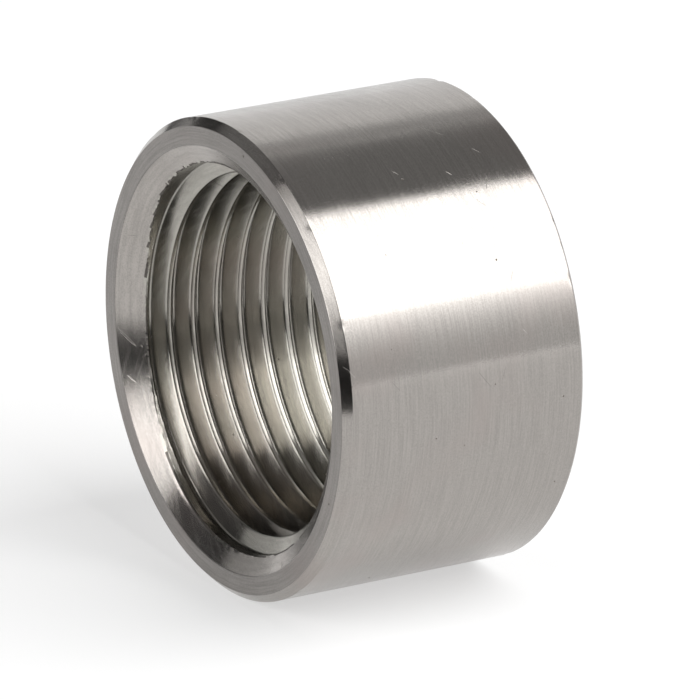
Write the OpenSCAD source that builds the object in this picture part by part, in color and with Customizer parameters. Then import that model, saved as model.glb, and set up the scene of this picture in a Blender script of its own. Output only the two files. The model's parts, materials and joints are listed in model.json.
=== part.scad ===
// Half coupling: a short turned sleeve with an internal parallel pipe thread right through it.
// The sleeve lies on its side: its axis runs along Y, its mouth faces -Y and its weld end +Y.
// The origin is on the axis where the thread starts, at the small end of the countersink.

/* [Sleeve] */
// Outside diameter of the turned sleeve
outer_d = 32.3; // [31.5:0.1:40]
// Length from the mouth face to the weld end
sleeve_length = 18; // [17:0.5:30]
// Width of the chamfer around the mouth
mouth_chamfer = 0.55; // [0.3:0.05:0.8]
// Width of the broken edge around the weld end
end_chamfer = 0.2; // [0.1:0.05:0.5]

/* [Pipe thread] */
// Major diameter of the thread
thread_major_d = 26.441; // [26.4:0.001:26.5]
// Threads in one inch
threads_per_inch = 14; // [12:1:16]
// Depth of the thread, as a share of its pitch
thread_depth_ratio = 0.640327; // [0.6:0.000001:0.65]
// Angle between the two flanks of the thread
thread_angle = 55; // [50:1:60]

/* [Countersinks] */
// Diameter of the countersink at the mouth face
countersink_d = 28.75; // [27:0.05:29.5]
// Included angle of the countersink at the mouth
countersink_angle = 120; // [100:5:130]
// Diameter of the small countersink at the weld end
end_countersink_d = 26.9; // [26.5:0.1:28]
// Included angle of the small countersink at the weld end
end_countersink_angle = 90; // [80:5:120]

/* [Hidden] */

$fn = 144;
inch = 25.4;
cut_over = 1;
pitch = inch / threads_per_inch;
thread_depth = thread_depth_ratio * pitch;
thread_minor_d = thread_major_d - 2 * thread_depth;
flank_width = thread_depth * tan(thread_angle / 2);
root_width = pitch / 6;
groove_width = root_width + 2 * flank_width;
countersink_depth = cone_depth(countersink_d, countersink_angle);
end_countersink_depth = cone_depth(end_countersink_d, end_countersink_angle);

// Stations along the axis, measured from the thread's start
mouth_z = -countersink_depth;
end_z = sleeve_length - countersink_depth;
thread_end_z = end_z - end_countersink_depth;
groove_count = floor(thread_end_z / pitch);

// Depth of a cone that opens from the tapping hole to the diameter d
function cone_depth(d, angle) = (d - thread_minor_d) / 2 / tan(angle / 2);

// Lays a shape that was turned about Z on its side, with its mouth towards -Y
module on_its_side() {
    rotate([-90, 0, 0]) children();
}

// The blank as it leaves the lathe, with both outer edges broken
module turned_blank() {
    outer_r = outer_d / 2;
    rotate_extrude()
        polygon([
            [0, mouth_z],
            [outer_r - mouth_chamfer, mouth_z],
            [outer_r, mouth_z + mouth_chamfer],
            [outer_r, end_z - end_chamfer],
            [outer_r - end_chamfer, end_z],
            [0, end_z],
        ]);
}

// The plain hole that the thread is cut in, as wide as the thread's crests
module tapping_hole() {
    translate([0, 0, mouth_z - cut_over])
        cylinder(h = sleeve_length + 2 * cut_over, d = thread_minor_d);
}

// A cone that narrows upwards from the diameter d at z = 0 to the tapping hole
module countersink(d, angle) {
    flare = 2 * cut_over * tan(angle / 2);
    translate([0, 0, -cut_over])
        cylinder(h = cone_depth(d, angle) + cut_over, d1 = d + flare, d2 = thread_minor_d);
}

// One turn of the thread's groove, with flat root and sloping flanks
module thread_groove() {
    inner_r = thread_minor_d / 2 - cut_over;
    major_r = thread_major_d / 2;
    inner_half = groove_width / 2 + cut_over * tan(thread_angle / 2);
    root_half = root_width / 2;
    rotate_extrude()
        polygon([
            [inner_r, -inner_half],
            [major_r, -root_half],
            [major_r, root_half],
            [inner_r, inner_half],
        ]);
}

module sleeve() {
    color([0.62, 0.6, 0.57])
        on_its_side()
            difference() {
                turned_blank();
                tapping_hole();
                translate([0, 0, mouth_z]) countersink(countersink_d, countersink_angle);
                translate([0, 0, end_z])
                    mirror([0, 0, 1]) countersink(end_countersink_d, end_countersink_angle);
                for (turn = [0 : groove_count - 1])
                    translate([0, 0, (turn + 0.5) * pitch]) thread_groove();
            }
}

sleeve();
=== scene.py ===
import json
import math

import bmesh
import bpy
import numpy as np
from mathutils import Matrix, Vector


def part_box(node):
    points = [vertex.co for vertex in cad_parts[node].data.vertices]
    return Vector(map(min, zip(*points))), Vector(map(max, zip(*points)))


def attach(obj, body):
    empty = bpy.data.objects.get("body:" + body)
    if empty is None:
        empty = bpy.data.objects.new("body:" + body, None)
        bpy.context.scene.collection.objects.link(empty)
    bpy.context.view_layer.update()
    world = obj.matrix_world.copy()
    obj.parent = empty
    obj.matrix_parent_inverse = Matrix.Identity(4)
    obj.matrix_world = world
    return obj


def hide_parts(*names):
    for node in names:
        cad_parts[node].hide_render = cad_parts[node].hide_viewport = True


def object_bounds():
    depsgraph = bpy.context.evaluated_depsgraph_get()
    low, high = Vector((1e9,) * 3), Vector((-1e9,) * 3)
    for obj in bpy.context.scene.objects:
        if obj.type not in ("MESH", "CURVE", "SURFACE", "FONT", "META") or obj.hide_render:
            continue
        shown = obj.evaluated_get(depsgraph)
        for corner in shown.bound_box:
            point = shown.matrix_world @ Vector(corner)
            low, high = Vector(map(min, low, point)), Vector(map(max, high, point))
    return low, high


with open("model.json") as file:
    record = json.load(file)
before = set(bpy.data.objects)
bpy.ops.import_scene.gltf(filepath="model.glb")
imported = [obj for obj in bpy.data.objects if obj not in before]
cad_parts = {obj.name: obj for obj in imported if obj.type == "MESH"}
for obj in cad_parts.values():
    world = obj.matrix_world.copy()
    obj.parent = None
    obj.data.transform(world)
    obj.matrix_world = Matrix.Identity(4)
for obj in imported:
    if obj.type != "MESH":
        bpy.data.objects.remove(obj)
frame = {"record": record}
cad_low, cad_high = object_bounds()

# ------------------------------------------------------------ sizes in metres, from the frame
MM = 0.001
PITCH = 25.4 * MM / 14
THREAD_DEPTH = 0.640327 * PITCH
THREAD_HALF_ANGLE = math.radians(27.5)
ROOT_ROUNDING = 0.137329 * PITCH
CREST_HALF = PITCH / 12

thread_mount = next(m for m in frame["record"]["mounts"] if m["name"] == "pipe_thread")
sleeve_low, sleeve_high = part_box("sleeve")
minor_r = thread_mount["dims"]["r_mm"] * MM
major_r = minor_r + THREAD_DEPTH
outer_r = min(sleeve_high.x, sleeve_high.z)
mouth_y = sleeve_low.y
end_y = sleeve_high.y
thread_end_y = thread_mount["dims"]["length_mm"] * MM
# The cones at the mouth and the weld end open by these radii for each metre along the axis
MOUTH_SLOPE = math.tan(math.radians(60))
END_SLOPE = math.tan(math.radians(45))
mouth_cone_r = minor_r - mouth_y * MOUTH_SLOPE
end_cone_r = minor_r + (end_y - thread_end_y) * END_SLOPE
MOUTH_CHAMFER = 0.55 * MM
END_CHAMFER = 0.2 * MM
CORNER_ROUNDING = 0.035 * MM
# Share of a pitch from the thread's start to a crest, at the top of the bore
CREST_PHASE = 0.1
# The first crest keeps most of its height only near this place, in turns along the helix
STUB_TURN, STUB_WIDTH, STUB_SHARE = -0.26, 0.12, 0.85
# Its full height is reached this many turns past the top of the bore
GROWN_TURN = 0.08
# Vertices around the axis
COLUMNS = 480


# ------------------------------------------------------------ outlines and noise
def rounded_corner(before, corner, after, radius, steps=3):
    """Points of an arc that rounds the corner of an outline."""
    p0, p1, p2 = (np.array(p, float) for p in (before, corner, after))
    u = (p0 - p1) / np.linalg.norm(p0 - p1)
    v = (p2 - p1) / np.linalg.norm(p2 - p1)
    half = math.acos(float(np.clip(u @ v, -1, 1))) / 2
    centre = p1 + (u + v) / np.linalg.norm(u + v) * radius / math.sin(half)
    start = p1 + u * radius / math.tan(half) - centre
    stop = p1 + v * radius / math.tan(half) - centre
    sweep = math.pi - 2 * half
    points = []
    for i in range(steps + 1):
        a = math.sin((1 - i / steps) * sweep) / math.sin(sweep)
        b = math.sin(i / steps * sweep) / math.sin(sweep)
        points.append(tuple(centre + a * start + b * stop))
    return points


def rounded_outline(points, radius):
    """The open outline of (radius, y) points with each of its corners rounded."""
    outline = [tuple(points[0])]
    for before, corner, after in zip(points, points[1:], points[2:]):
        outline += rounded_corner(before, corner, after, radius)
    outline.append(tuple(points[-1]))
    return outline


def with_stations(outline, near_ends):
    """The outline with extra points at these distances from both ends of each long stretch."""
    result = [outline[0]]
    for (r0, y0), (r1, y1) in zip(outline, outline[1:]):
        length = math.hypot(r1 - r0, y1 - y0)
        reach = [d for d in near_ends if d < 0.45 * length]
        for place in reach + [length - d for d in reversed(reach)] + [length]:
            share = place / length
            result.append((r0 + (r1 - r0) * share, y0 + (y1 - y0) * share))
    return result


def ring_noise(seed, fewest, most):
    """Random waviness around a ring, one value per column, with `fewest` to `most` waves."""
    random = np.random.RandomState(seed)
    turns = np.arange(COLUMNS) / COLUMNS * 2 * math.pi
    total = np.zeros(COLUMNS)
    for waves in range(fewest, most + 1):
        total += np.cos(waves * turns + random.uniform(0, 2 * math.pi))
    return total / math.sqrt((most - fewest + 1) / 2)


def soft_max(a, b, softness):
    """The larger of two values, with a small round where they cross."""
    return 0.5 * (a + b + np.sqrt((a - b) ** 2 + softness**2))


# ------------------------------------------------------------ the thread
def thread_stations():
    """Places in one pitch, measured from a crest, that get a row of vertices."""
    edge = 0.02 * MM
    root_reach = ROOT_ROUNDING * math.cos(THREAD_HALF_ANGLE)
    half = [0.0]
    half += [CREST_HALF + k * edge for k in (-1, -0.4, 0.1, 0.6)]
    half += list(np.linspace(CREST_HALF + 0.08 * MM, PITCH / 2 - root_reach, 7))
    half += list(PITCH / 2 - root_reach * np.cos(np.linspace(0.4, math.pi / 2, 4)))
    return half + [PITCH - s for s in reversed(half[1:-1])]


def thread_radius(place):
    """Radius of the thread's surface at a distance from a crest along the axis."""
    s = np.abs((place + PITCH / 2) % PITCH - PITCH / 2)
    slope = 1 / math.tan(THREAD_HALF_ANGLE)
    edge = 0.02 * MM
    flank = minor_r + (s - CREST_HALF) * slope
    crest = minor_r + np.maximum(s - CREST_HALF + edge, 0) ** 2 / (3.2 * edge) * slope
    radius = np.where(s < CREST_HALF + 0.6 * edge, crest, flank)
    away = PITCH / 2 - s
    root = major_r - ROOT_ROUNDING + np.sqrt(np.maximum(ROOT_ROUNDING**2 - away**2, 0))
    return np.where(away < ROOT_ROUNDING * math.cos(THREAD_HALF_ANGLE), root, np.minimum(radius, major_r))


def lost_height(turn):
    """Height that the first crest has lost, at a number of turns along the helix.

    The crest starts short, where the countersink would leave it thin, and grows to its full
    height just past the top of the bore.
    """
    kept = STUB_SHARE * np.exp(-(((turn - STUB_TURN) / STUB_WIDTH) ** 2))
    grown = np.clip(turn / GROWN_TURN, 0, 1)
    eased = grown * grown * (3 - 2 * grown)
    return 0.92 * THREAD_DEPTH * (1 - kept) * (1 - eased)


def burr_place(turn):
    """Where the small end of the mouth's cone lies along the axis, at a share of a turn."""
    return -lost_height(np.where(turn > 0.3, turn - 1, turn)) / MOUTH_SLOPE


def burr_height(y):
    """Height of the ragged burr at the small end of the mouth's cone, one value per column."""
    turn = np.arange(COLUMNS) / COLUMNS
    edge = burr_place(turn)
    ragged = np.maximum(ring_noise(5, 50, 230), -0.2) + 0.2
    strong = 0.45 + 0.55 * np.maximum(np.cos(2 * math.pi * (turn - 0.9)), 0) ** 2
    return 0.05 * MM * ragged * strong * np.exp(-(((y - edge) / (0.055 * MM)) ** 2))


def bore_radius(y):
    """Radius of the bore's wall, from one place along the axis for each column."""
    turn = np.arange(COLUMNS) / COLUMNS
    place = y - (CREST_PHASE + turn) * PITCH
    along_helix = turn + np.round(place / PITCH)
    thread = np.maximum(thread_radius(place), minor_r + lost_height(along_helix))
    mouth_cone = minor_r - y * MOUTH_SLOPE
    end_cone = minor_r + (y - thread_end_y) * END_SLOPE
    radius = soft_max(soft_max(thread, mouth_cone, 0.02 * MM), end_cone, 0.02 * MM)
    return radius - burr_height(y)


# ------------------------------------------------------------ the sleeve's mesh
class Shell:
    """Gathers the vertices and faces of a mesh that winds around the Y axis."""

    def __init__(self):
        self.points = []
        self.faces = []
        turns = np.arange(COLUMNS) / COLUMNS * 2 * math.pi
        # An angle of 0 is the top of the sleeve, and angles grow towards +X
        self.sines, self.cosines = np.sin(turns), np.cos(turns)

    def add_ring(self, radii, ys):
        """Adds one vertex per column, from numbers or arrays, and returns their indices."""
        ones = np.ones(COLUMNS)
        first = len(self.points)
        columns = (radii * self.sines, ys * ones, radii * self.cosines)
        self.points += list(zip(*(c.tolist() for c in columns)))
        return list(range(first, first + COLUMNS))

    def add_face(self, *corners):
        kept = [c for i, c in enumerate(corners) if c != corners[i - 1]]
        if len(kept) > 2:
            self.faces.append(kept)

    def bridge(self, ring_a, ring_b):
        for j in range(COLUMNS):
            k = (j + 1) % COLUMNS
            self.add_face(ring_a[j], ring_a[k], ring_b[k], ring_b[j])

    def add_threaded_wall(self, mouth_ring, y_low, end_ring, y_high):
        """Adds the wall between two rings; its rows follow the helix until a ring cuts them off."""
        stations = thread_stations()
        rows_per_turn = len(stations)
        first = math.floor(y_low / PITCH) - 2
        turns = math.ceil((y_high - y_low) / PITCH) + 4
        climb = (CREST_PHASE + np.arange(COLUMNS) / COLUMNS) * PITCH
        near = 0.004 * MM
        rows = []
        for turn in range(first, first + turns):
            for station in stations:
                y = turn * PITCH + station + climb
                inside = (y > y_low + near) & (y < y_high - near)
                made = self.add_ring(bore_radius(y), y) if inside.any() else mouth_ring
                row = np.where(inside, made, np.where(y < y_high / 2, mouth_ring, end_ring))
                rows.append(row.tolist())
        for k in range(len(rows) - 1 - rows_per_turn):
            # Past the last column a row goes on as the row one turn further up
            low = rows[k] + [rows[k + rows_per_turn][0]]
            high = rows[k + 1] + [rows[k + 1 + rows_per_turn][0]]
            for j in range(COLUMNS):
                self.add_face(low[j], low[j + 1], high[j + 1], high[j])

    def make(self, name, sharp_angle):
        mesh = bpy.data.meshes.new(name)
        mesh.from_pydata(self.points, [], self.faces)
        work = bmesh.new()
        work.from_mesh(mesh)
        loose = [v for v in work.verts if not v.link_faces]
        bmesh.ops.delete(work, geom=loose, context="VERTS")
        bmesh.ops.recalc_face_normals(work, faces=work.faces)
        work.to_mesh(mesh)
        work.free()
        mesh.shade_smooth()
        mesh.set_sharp_from_angle(angle=sharp_angle)
        piece = bpy.data.objects.new(name, mesh)
        bpy.context.scene.collection.objects.link(piece)
        return piece


def nick_depth(seed, count, y):
    """Depth of small dents along an outer edge, one value per column, for rings near the edge."""
    random = np.random.RandomState(seed)
    turn = np.arange(COLUMNS) / COLUMNS
    depth = np.zeros(COLUMNS)
    for _ in range(count):
        place, width, deep = random.uniform(0, 1), random.uniform(0.0015, 0.004), random.uniform(0.3, 1)
        away = (turn - place + 0.5) % 1 - 0.5
        depth = np.maximum(depth, deep * np.exp(-((away / width) ** 2)))
    return 0.06 * MM * depth * math.exp(-((y / (0.12 * MM)) ** 2))


def make_sleeve():
    """The whole sleeve: rings for its outside and ends, and the threaded wall between them."""
    shell = Shell()
    y_low = -0.74 * MM
    y_high = end_y - 0.12 * MM
    outline = rounded_outline(
        [
            (minor_r - y_low * MOUTH_SLOPE, y_low),
            (mouth_cone_r, mouth_y),
            (outer_r - MOUTH_CHAMFER, mouth_y),
            (outer_r, mouth_y + MOUTH_CHAMFER),
            (outer_r, end_y - END_CHAMFER),
            (outer_r - END_CHAMFER, end_y),
            (end_cone_r, end_y),
            (minor_r + (y_high - thread_end_y) * END_SLOPE, y_high),
        ],
        CORNER_ROUNDING,
    )
    rings = []
    for radius, y in with_stations(outline, (0.06 * MM, 0.15 * MM, 0.3 * MM)):
        dents = np.zeros(COLUMNS)
        if radius > outer_r - MOUTH_CHAMFER - 0.1 * MM:
            dents += nick_depth(11, 26, y - mouth_y - MOUTH_CHAMFER)
            dents += nick_depth(12, 18, y - end_y + END_CHAMFER)
        rings.append(shell.add_ring(radius - dents, y))
    for ring_a, ring_b in zip(rings, rings[1:]):
        shell.bridge(ring_a, ring_b)
    shell.add_threaded_wall(rings[0], y_low, rings[-1], y_high)
    return shell.make("turned_sleeve", math.radians(40))


# ------------------------------------------------------------ materials
class Graph:
    """Short names for the nodes of one material."""

    def __init__(self, name):
        self.material = bpy.data.materials.new(name)
        self.material.use_nodes = True
        self.tree = self.material.node_tree
        self.shader = self.tree.nodes["Principled BSDF"]

    def node(self, kind, **settings):
        made = self.tree.nodes.new(kind)
        for key, value in settings.items():
            setattr(made, key, value)
        return made

    def feed(self, socket, value):
        if isinstance(value, bpy.types.NodeSocket):
            self.tree.links.new(value, socket)
        else:
            socket.default_value = value

    def math(self, operation, a, b=0.0):
        made = self.node("ShaderNodeMath", operation=operation)
        for socket, value in zip(made.inputs, (a, b)):
            self.feed(socket, value)
        return made.outputs[0]

    def vector(self, x, y, z):
        made = self.node("ShaderNodeCombineXYZ")
        for socket, value in zip(made.inputs, (x, y, z)):
            self.feed(socket, value)
        return made.outputs[0]

    def noise(self, vector, scale=1.0, detail=2.0, roughness=0.5):
        made = self.node("ShaderNodeTexNoise")
        numbers = (vector, scale, detail, roughness)
        for key, value in zip(("Vector", "Scale", "Detail", "Roughness"), numbers):
            self.feed(made.inputs[key], value)
        return made.outputs["Fac"]

    def band(self, value, low, high, to_low=0.0, to_high=1.0):
        made = self.node("ShaderNodeMapRange", interpolation_type="SMOOTHSTEP")
        numbers = (value, low, high, to_low, to_high)
        for key, number in zip(("Value", "From Min", "From Max", "To Min", "To Max"), numbers):
            self.feed(made.inputs[key], number)
        return made.outputs["Result"]

    def mix(self, factor, a, b):
        made = self.node("ShaderNodeMix", data_type="RGBA")
        for index, value in zip((0, 6, 7), (factor, a, b)):
            self.feed(made.inputs[index], value)
        return made.outputs[2]

    def bump(self, height, distance, normal=None):
        made = self.node("ShaderNodeBump")
        made.inputs["Distance"].default_value = distance
        self.feed(made.inputs["Height"], height)
        if normal is not None:
            self.feed(made.inputs["Normal"], normal)
        return made.outputs["Normal"]


def turned_steel(name, colour, roughness, anisotropy, line_depth, grain_depth, contrast):
    """Turned stainless steel; its lines run around the Y axis."""
    g = Graph(name)
    place = g.node("ShaderNodeTexCoord").outputs["Object"]
    xyz = g.node("ShaderNodeSeparateXYZ")
    g.feed(xyz.inputs[0], place)
    x, y, z = xyz.outputs
    length = g.node("ShaderNodeVectorMath", operation="LENGTH")
    g.feed(length.inputs[0], g.vector(x, 0.0, z))
    # Grows along the axis on the outside and along the radius on the faces
    across = g.math("ADD", length.outputs["Value"], y)

    def lines(around, per_metre, detail):
        """Noise drawn out around the axis."""
        stretched = g.vector(g.math("MULTIPLY", x, around), g.math("MULTIPLY", across, per_metre),
                             g.math("MULTIPLY", z, around))
        return g.noise(stretched, 1.0, detail, 0.6)

    fine = lines(260.0, 9000.0, 3.0)
    coarse = lines(120.0, 2600.0, 2.0)
    grain = g.noise(place, 9000.0, 2.0, 0.7)
    cloud = g.noise(place, 190.0, 4.0, 0.55)
    tarnish = g.noise(place, 75.0, 3.0, 0.6)

    # Short scratches in two directions, on the surface rolled out flat
    round_the_axis = g.math("MULTIPLY", g.math("ARCTAN2", x, z), outer_r)

    def scratches(slant, seed, rare):
        """Streaks at an angle to the lines, fewer of them as `rare` grows."""
        lengthwise, crosswise = 330.0, 5200.0
        turn = math.radians(slant)
        along = g.math("ADD", g.math("MULTIPLY", round_the_axis, math.cos(turn)),
                       g.math("MULTIPLY", y, math.sin(turn)))
        aside = g.math("SUBTRACT", g.math("MULTIPLY", y, math.cos(turn)),
                       g.math("MULTIPLY", round_the_axis, math.sin(turn)))
        flat = g.vector(g.math("MULTIPLY", along, lengthwise), g.math("MULTIPLY", aside, crosswise), seed)
        return g.band(g.noise(flat, 1.0, 1.0), rare, rare + 0.05)

    marks = g.math("MAXIMUM", scratches(38.0, 3.7, 0.765), scratches(-24.0, 8.2, 0.775))
    polish = scratches(12.0, 5.1, 0.52)
    specks = g.band(g.noise(place, 2300.0, 1.0), 0.79, 0.83)

    shade = g.math("ADD", g.math("MULTIPLY", fine, 0.5), g.math("MULTIPLY", grain, 0.5))
    dark = tuple(c * (1 - contrast) for c in colour) + (1.0,)
    light = tuple(c * (1 + contrast) for c in colour) + (1.0,)
    pink = (colour[0] * 1.02, colour[1] * 0.96, colour[2] * 0.96, 1.0)
    stain = (colour[0] * 0.35, colour[1] * 0.3, colour[2] * 0.25, 1.0)
    tint = g.mix(g.band(shade, 0.35, 0.65), dark, light)
    tint = g.mix(g.band(tarnish, 0.5, 0.66, 0.0, 0.55), tint, pink)
    tint = g.mix(g.math("MULTIPLY", specks, 0.8), tint, stain)
    g.feed(g.shader.inputs["Base Color"], tint)
    clouded = g.band(cloud, 0.3, 0.7, roughness - 0.02, roughness + 0.03)
    worn = g.math("ADD", g.math("MULTIPLY", polish, 0.03), g.math("MULTIPLY", specks, 0.3))
    g.feed(g.shader.inputs["Roughness"], g.math("ADD", clouded, worn))
    g.shader.inputs["Metallic"].default_value = 1.0
    g.shader.inputs["Anisotropic"].default_value = anisotropy
    # A quarter turn puts the scatter across the lines
    g.shader.inputs["Anisotropic Rotation"].default_value = 0.25
    tangent = g.node("ShaderNodeTangent", direction_type="RADIAL", axis="Y")
    g.feed(g.shader.inputs["Tangent"], tangent.outputs[0])
    height = g.math("ADD", g.math("MULTIPLY", fine, 0.6), g.math("MULTIPLY", coarse, 0.5))
    normal = g.bump(height, line_depth)
    normal = g.bump(grain, grain_depth, normal)
    normal = g.bump(g.math("MULTIPLY", g.math("ADD", marks, specks), -1.0), 0.006 * MM, normal)
    g.feed(g.shader.inputs["Normal"], normal)
    return g.material


# Width around the axis of the band of painted shade along the burr
burr_shade_spread = ring_noise(8, 20, 110)


def finish_of(face):
    """Which of the sleeve's five finishes a face gets, from where it lies."""
    x, y, z = face.center
    radius = math.hypot(x, z)
    margin = 0.02 * MM
    fit = 0.012 * MM
    if radius > outer_r - MOUTH_CHAMFER + margin and margin < y - mouth_y < end_y - mouth_y - margin:
        return 0
    # Ends, chamfers and the mouth ring get the faced finish, whose darker colour is painted shade
    if y < mouth_y + margin or y > end_y - margin or radius > mouth_cone_r:
        return 1
    turn = math.atan2(x, z) / (2 * math.pi) % 1
    spread = (0.012 + 0.02 * min(abs(burr_shade_spread[int(turn * COLUMNS)]), 2)) * MM
    # A band along the burr gets the near-black finish, painted shade in the crease where the cone meets
    # the thread
    if abs(y - burr_place(turn)) < spread:
        return 4
    on_mouth_cone = abs(minor_r - y * MOUTH_SLOPE - radius) < fit
    on_end_cone = abs(minor_r + (y - thread_end_y) * END_SLOPE - radius) < fit
    return 2 if on_mouth_cone or on_end_cone else 3


# Colour, roughness, anisotropy, depth of the lines and of the grain, and contrast of each finish
FINISHES = (
    turned_steel("turned_steel", (0.348, 0.328, 0.308), 0.16, 1.0, 0.0003 * MM, 0.0017 * MM, 0.1),
    # The faced finish is really rougher, but its darker colour is painted shade, standing in for the
    # floor's shadow that the flat ring reflects
    turned_steel("faced_steel", (0.258, 0.243, 0.23), 0.34, 0.3, 0.0018 * MM, 0.0025 * MM, 0.2),
    turned_steel("countersunk_steel", (0.365, 0.343, 0.321), 0.2, 0.9, 0.001 * MM, 0.0014 * MM, 0.13),
    turned_steel("threaded_steel", (0.385, 0.371, 0.337), 0.19, 0.95, 0.0004 * MM, 0.0007 * MM, 0.12),
    # The burr's roughness is real, but its near-black colour is painted shade along the crease between
    # the cone and the thread
    turned_steel("burred_steel", (0.12, 0.11, 0.1), 0.4, 0.2, 0.002 * MM, 0.003 * MM, 0.3),
)
sleeve = make_sleeve()
for finish in FINISHES:
    sleeve.data.materials.append(finish)
for face in sleeve.data.polygons:
    face.material_index = finish_of(face)
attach(sleeve, "root")
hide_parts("sleeve")

# ------------------------------------------------------------ studio
world = bpy.data.worlds.new("studio")
bpy.context.scene.world = world
world.use_nodes = True
room = world.node_tree.nodes["Background"]
room.inputs["Color"].default_value = (1, 1, 1, 1)
room.inputs["Strength"].default_value = 0.05
bpy.context.scene.view_settings.view_transform = "Standard"


SHEET_REACH = 1.5
LAMP_DISTANCE = 1.3


def make_sheet(name, left, rear, z, colour, glow):
    """A plain matt sheet that lies flat around or in front of the sleeve."""
    right = SHEET_REACH
    front = -SHEET_REACH
    corners = [(left, front), (right, front), (right, rear), (left, rear)]
    mesh = bpy.data.meshes.new(name)
    mesh.from_pydata([(x, y, z) for x, y in corners], [], [(0, 1, 2, 3)])
    sheet = bpy.data.objects.new(name, mesh)
    bpy.context.scene.collection.objects.link(sheet)
    shader = Graph(name).shader
    shader.inputs["Base Color"].default_value = (colour, colour, colour, 1)
    shader.inputs["Roughness"].default_value = 1.0
    shader.inputs["Specular IOR Level"].default_value = 0.0
    shader.inputs["Emission Color"].default_value = (1, 1, 1, 1)
    shader.inputs["Emission Strength"].default_value = glow
    mesh.materials.append(bpy.data.materials[name])
    return sheet


# A light table, and a dark card in front of it that only the steel's reflections show
make_sheet("light_table", -SHEET_REACH, SHEET_REACH, sleeve_low.z, 0.5, 0.51)
card = make_sheet("dark_card", -0.1, -0.062, sleeve_low.z + 0.5 * MM, 0.02, 0.0)
card.visible_camera = False
card.visible_diffuse = False
card.visible_shadow = False
middle = (Vector(cad_low) + Vector(cad_high)) / 2


def direction(azimuth, elevation):
    """A unit vector; azimuth 0 looks at the mouth along +Y, and azimuth 90 is +X."""
    a, e = math.radians(azimuth), math.radians(elevation)
    return Vector((math.sin(a) * math.cos(e), -math.cos(a) * math.cos(e), math.sin(e)))


def softbox(name, azimuth, elevation, width, height, brightness):
    """A rectangular lamp that faces the sleeve; its width and height are angles in degrees."""
    lamp = bpy.data.lights.new(name, "AREA")
    lamp.shape = "RECTANGLE"
    lamp.size = 2 * LAMP_DISTANCE * math.tan(math.radians(width / 2))
    lamp.size_y = 2 * LAMP_DISTANCE * math.tan(math.radians(height / 2))
    lamp.energy = brightness * math.pi * lamp.size * lamp.size_y
    holder = bpy.data.objects.new(name, lamp)
    away = direction(azimuth, elevation)
    holder.location = middle + away * LAMP_DISTANCE
    holder.rotation_euler = away.to_track_quat("Z", "Y").to_euler()
    bpy.context.scene.collection.objects.link(holder)


def strip(name, low, high, near, far, brightness):
    """A lamp hung parallel to the sleeve's axis, given by angles seen from the sleeve.

    low and high are angles up from the +X horizon around the axis, near and far are angles
    from the middle plane towards +Y.
    """
    lamp = bpy.data.lights.new(name, "AREA")
    lamp.shape = "RECTANGLE"
    y_near, y_far = (LAMP_DISTANCE * math.tan(math.radians(t)) for t in (near, far))
    lamp.size = 2 * LAMP_DISTANCE * math.tan(math.radians((high - low) / 2))
    lamp.size_y = y_far - y_near
    lamp.energy = brightness * math.pi * lamp.size * lamp.size_y
    turn = math.radians((low + high) / 2)
    away = Vector((math.cos(turn), 0, math.sin(turn)))
    along = Vector((0, 1, 0))
    holder = bpy.data.objects.new(name, lamp)
    place = middle + away * LAMP_DISTANCE + along * (y_near + y_far) / 2
    facing = Matrix((along.cross(away), along, away)).transposed().to_4x4()
    holder.matrix_world = Matrix.Translation(place) @ facing
    bpy.context.scene.collection.objects.link(holder)


FADE_STEPS = 14
FADE_TOP, FADE_FOOT = 30, -1.5
strip("key_panel", FADE_TOP, 82.6, -5, 60, 3.7)
for step in range(FADE_STEPS):
    # The key panel's glow falls off towards its lower edge
    high = FADE_TOP + (FADE_FOOT - FADE_TOP) * step / FADE_STEPS
    low = FADE_TOP + (FADE_FOOT - FADE_TOP) * (step + 1) / FADE_STEPS
    glow = 0.86 + 2.0 * (1 - (step + 0.5) / FADE_STEPS) ** 3
    strip(f"key_fade_{step}", low, high, -2, 55, glow)
strip("overhead", 83, 125, 0, 50, 0.24)
strip("back_left_panel", 134, 181.5, 12, 50, 1.05)
strip("back_left_edge", 122, 134, 12, 50, 0.45)
softbox("front_panel", 0.5, 22.5, 45, 40, 2.95)
softbox("front_left", -50, 37, 40, 26, 0.22)
softbox("left_low", -73, 6.5, 34, 14, 0.45)

# ------------------------------------------------------------ camera
AZIMUTH = 59.2
ELEVATION = 19.5
ROLL = math.radians(0.58)
# A long lens from far away, as the photo's nearly parallel edges ask for; the distance is in outer radii
DISTANCE = 34.05
LENS = 427.7
back = direction(AZIMUTH, ELEVATION)
level_right = Vector((0, 0, 1)).cross(back).normalized()
level_up = back.cross(level_right)
right = math.cos(ROLL) * level_right + math.sin(ROLL) * level_up
up = math.cos(ROLL) * level_up - math.sin(ROLL) * level_right
aim = middle + (right - up) * 0.72 * MM
camera_data = bpy.data.cameras.new("camera")
camera_data.lens = LENS
camera_data.sensor_width = 36
camera_data.clip_end = 20
camera = bpy.data.objects.new("camera", camera_data)
bpy.context.scene.collection.objects.link(camera)
turn = Matrix((right, up, back)).transposed().to_4x4()
camera.matrix_world = Matrix.Translation(aim + back * DISTANCE * outer_r) @ turn
bpy.context.scene.camera = camera
